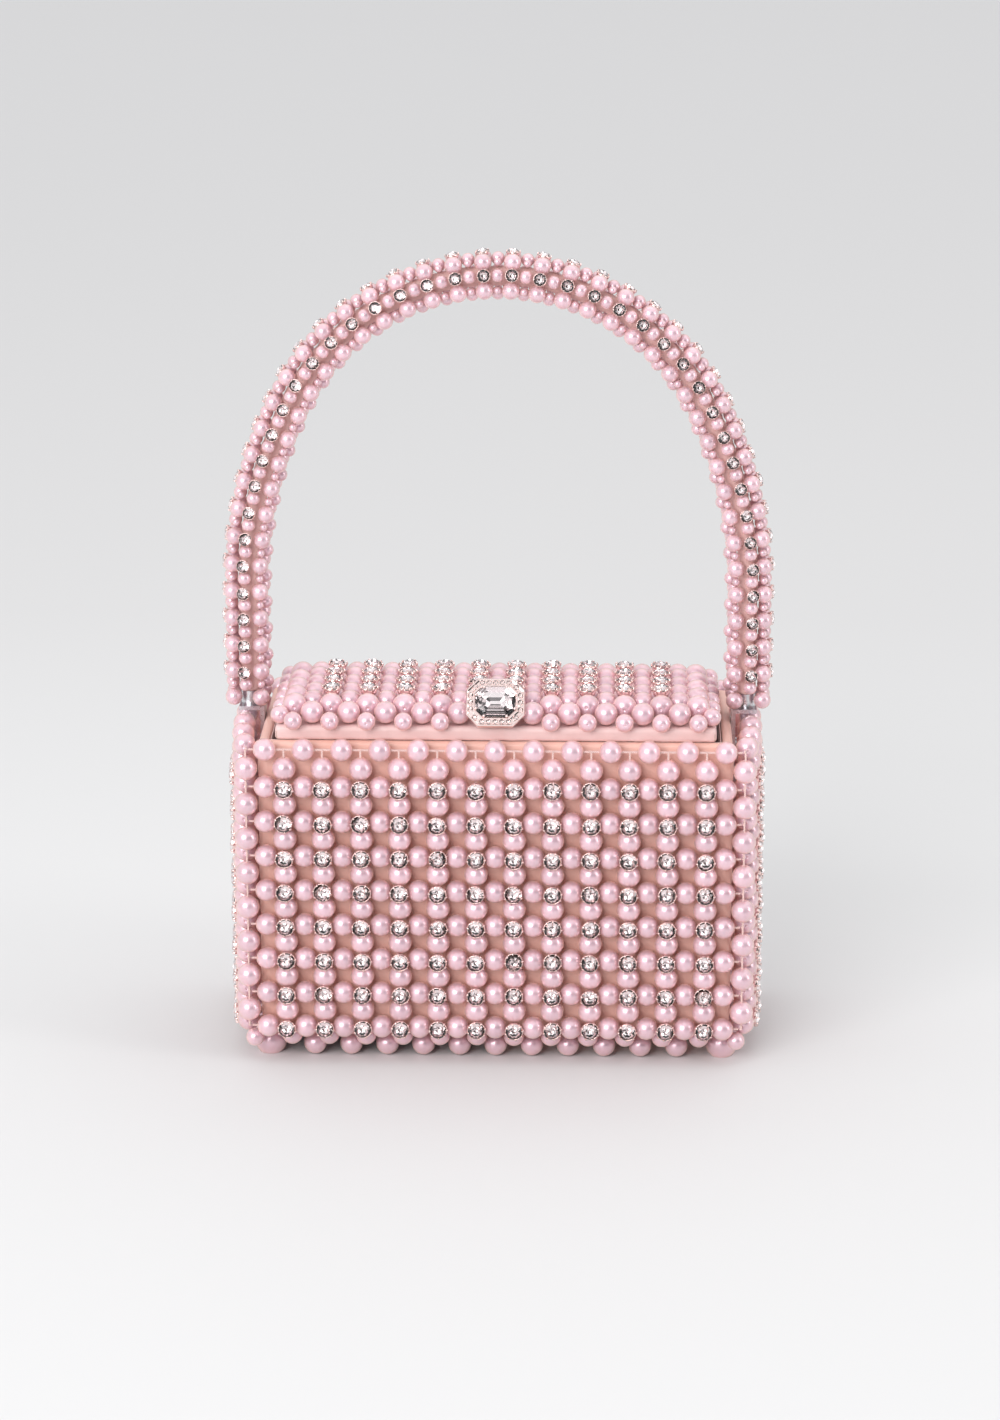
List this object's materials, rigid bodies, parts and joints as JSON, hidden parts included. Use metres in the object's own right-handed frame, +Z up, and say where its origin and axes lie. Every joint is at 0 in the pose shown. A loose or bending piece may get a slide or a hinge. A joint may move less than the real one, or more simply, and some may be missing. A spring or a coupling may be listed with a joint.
{
  "type": "flower girl basket",
  "caption": "Rigid box bag for a flower girl, satin covered and netted with pearls and cupped crystals, with a hinged lid, jewel clasp and arched beaded handle.",
  "frame": {"origin": "on the ground under the middle of the box, between the pearls that it stands on", "axes": "+Z up through the handle, +X to the bag's right as its front is seen, -Y towards the front with the clasp"},
  "size_m": [0.1962, 0.0912, 0.2855],
  "materials": {
    "pearl": "glossy pink pearl lacquer",
    "crystal": "clear faceted glass",
    "clasp_stone": "clear emerald-cut glass",
    "cup": "rose-silver plated claw cup",
    "setting": "rose-silver plated setting",
    "satin": "peach-pink duchess satin",
    "lining": "peach-pink satin lining",
    "sleeve": "satin tube over the handle's core",
    "thread": "waxed beading thread",
    "board": "grey-brown stiff board",
    "wadding": "soft white wadding",
    "steel": "nickel-plated steel",
    "magnet": "nickel-plated magnet"
  },
  "bodies": {
    "case": {"front_board": "board", "back_board": "board", "left_board": "board", "right_board": "board", "bottom_board": "board", "satin_cover": "satin", "lining": "lining", "front_pearls": "pearl", "back_pearls": "pearl", "left_pearls": "pearl", "right_pearls": "pearl", "corner_pearls": "pearl", "ground_pearls": "pearl", "front_cups": "cup", "front_crystals": "crystal", "back_cups": "cup", "back_crystals": "crystal", "side_cups": "cup", "side_crystals": "crystal", "case_thread": "thread", "case_magnet": "magnet", "hinge_case_leaves": "steel", "hinge_pins": "steel", "hinge_case_rivets": "steel", "handle_wire": "steel", "handle_sleeve": "sleeve", "left_anchor": "steel", "right_anchor": "steel", "anchor_rivets": "steel", "handle_ring_pearls": "pearl", "handle_line_pearls": "pearl", "handle_seed_pearls": "pearl", "handle_cups": "cup", "handle_crystals": "crystal"},
    "lid": {"lid_board": "board", "lid_padding": "wadding", "lid_cover": "satin", "lid_pearls": "pearl", "lid_trim_pearls": "pearl", "lid_cups": "cup", "lid_crystals": "crystal", "lid_thread": "thread", "lid_magnet": "magnet", "clasp_plate": "setting", "clasp_setting": "setting", "clasp_crystal": "clasp_stone", "clasp_pave": "crystal", "hinge_lid_leaves": "steel", "hinge_lid_rivets": "steel"}
  },
  "joints": [
    {"name": "lid_hinge", "type": "hinge", "parent": "case", "child": "lid", "pos_m": [0, 0.035, 0.1198], "axis": [-1, 0, 0], "range_deg": [0, 110]}
  ]
}
